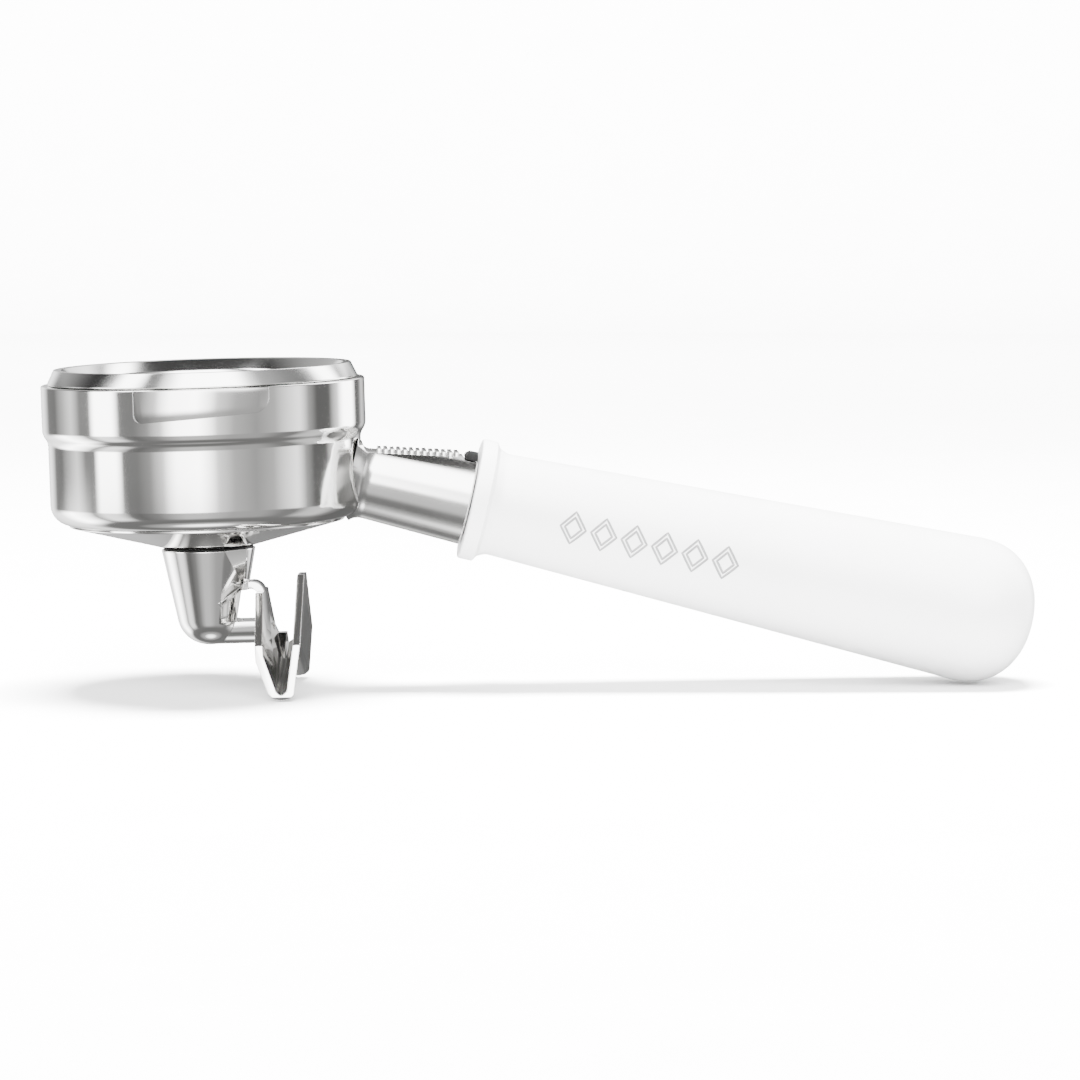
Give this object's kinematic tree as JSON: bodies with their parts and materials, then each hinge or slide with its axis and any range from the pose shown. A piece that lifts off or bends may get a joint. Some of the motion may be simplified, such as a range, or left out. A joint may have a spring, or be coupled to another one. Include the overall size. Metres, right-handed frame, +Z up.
{
  "type": "espresso portafilter",
  "caption": "Espresso machine portafilter: steel bowl with bayonet lugs, lift-out filter basket, screw-in funnel base, split spout and a plain white screw-on grip.",
  "frame": {"origin": "centre of the bounding box on the ground, with the part resting on its two spout tips and the end of its handle", "axes": "+X from the bowl towards the handle's end, +Z up, +Y towards the far lug when the handle points right"},
  "size_m": [0.2254, 0.0798, 0.0741],
  "materials": {
    "polished_steel": "mirror-polished stainless steel",
    "basket_steel": "bright pressed stainless sheet",
    "spring_steel": "plain drawn steel",
    "brass": "turned brass",
    "black_rubber": "matte",
    "black_plastic": "satin",
    "white_plastic": "fine satin white"
  },
  "bodies": {
    "head": {"body": "polished_steel", "basket_spring": "spring_steel", "neck": "polished_steel", "stop_block": "black_plastic", "handle_stud": "spring_steel"},
    "basket": {"filter_basket": "basket_steel"},
    "base_ring": {"base_seal": "black_rubber"},
    "base": {"funnel_base": "polished_steel"},
    "spout_ring": {"spout_seal": "black_rubber"},
    "spout_arm": {"spout": "polished_steel"},
    "handle_ring": {"handle_washer": "black_rubber"},
    "handle": {"handle_grip": "white_plastic", "handle_insert": "brass"}
  },
  "joints": [
    {"name": "basket_lift", "type": "slide", "parent": "head", "child": "basket", "axis": [-0.0283, 0, 0.9996], "range_m": [0, 0.045]},
    {"name": "base_travel", "type": "slide", "parent": "head", "child": "base_ring", "axis": [0.0283, 0, -0.9996], "range_m": [0, 0.00501]},
    {"name": "base_turn", "type": "hinge", "parent": "base_ring", "child": "base", "pos_m": [-0.07643, 0, 0.06966], "axis": [0.0283, 0, -0.9996], "range_deg": [0, 1200]},
    {"name": "spout_travel", "type": "slide", "parent": "base", "child": "spout_ring", "axis": [0.0283, 0, -0.9996], "range_m": [0, 0.0067]},
    {"name": "spout_turn", "type": "hinge", "parent": "spout_ring", "child": "spout_arm", "pos_m": [-0.07643, 0, 0.06966], "axis": [0.0283, 0, -0.9996], "range_deg": [0, 1800]},
    {"name": "handle_travel", "type": "slide", "parent": "head", "child": "handle_ring", "axis": [0.9751, 0, -0.222], "range_m": [0, 0.0176]},
    {"name": "handle_turn", "type": "hinge", "parent": "handle_ring", "child": "handle", "pos_m": [-0.07606, 0, 0.05649], "axis": [0.9751, 0, -0.222], "range_deg": [0, 3600]}
  ],
  "couplings": [
    {"joint": "base_travel", "follows": "base_turn", "m_per_rad": 0.0002387},
    {"joint": "spout_travel", "follows": "spout_turn", "m_per_rad": 0.0002128},
    {"joint": "handle_travel", "follows": "handle_turn", "m_per_rad": 0.0002785}
  ]
}
